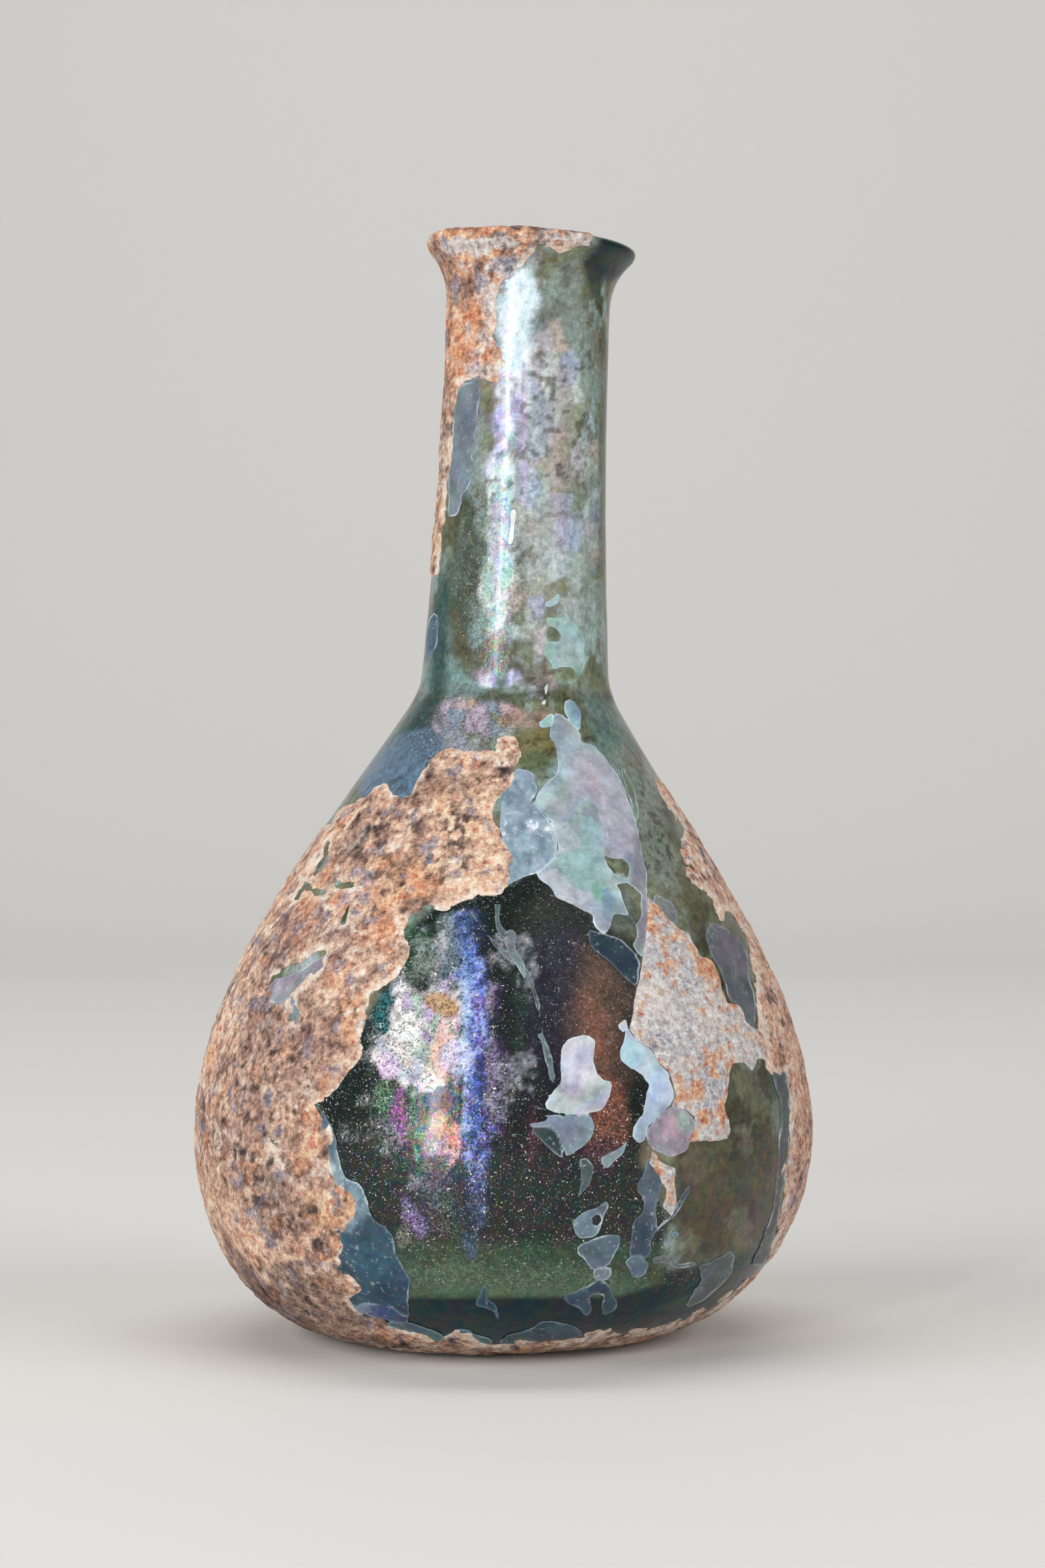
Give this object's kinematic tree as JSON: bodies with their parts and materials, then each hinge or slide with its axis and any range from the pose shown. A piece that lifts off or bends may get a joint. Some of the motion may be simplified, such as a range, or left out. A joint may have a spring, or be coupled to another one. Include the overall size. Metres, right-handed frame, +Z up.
{
  "type": "ancient glass bottle",
  "caption": "Free-blown ancient glass bottle with a pear-shaped body, a tall narrow neck and a flaring lip, for pouring oil or scent in drops.",
  "frame": {"origin": "on the surface that the bottle stands on, under the centre of its widest place", "axes": "+Z up, +X towards the side that the neck leans to, -Y the front with the large clear window in the crust"},
  "size_m": [0.0792, 0.0792, 0.1405],
  "materials": {
    "sea_green_glass": "clear sea-green blown glass, slightly bubbly",
    "earth_crust": "rough baked-on earth and lime crust, peach to dark brown",
    "weathering_skin": "flaking pearly weathering skin with rainbow lustre",
    "inner_film": "mottled olive and grey-green film on the inside wall"
  },
  "bodies": {
    "root": {"glass_bottle": "sea_green_glass"}
  },
  "joints": []
}
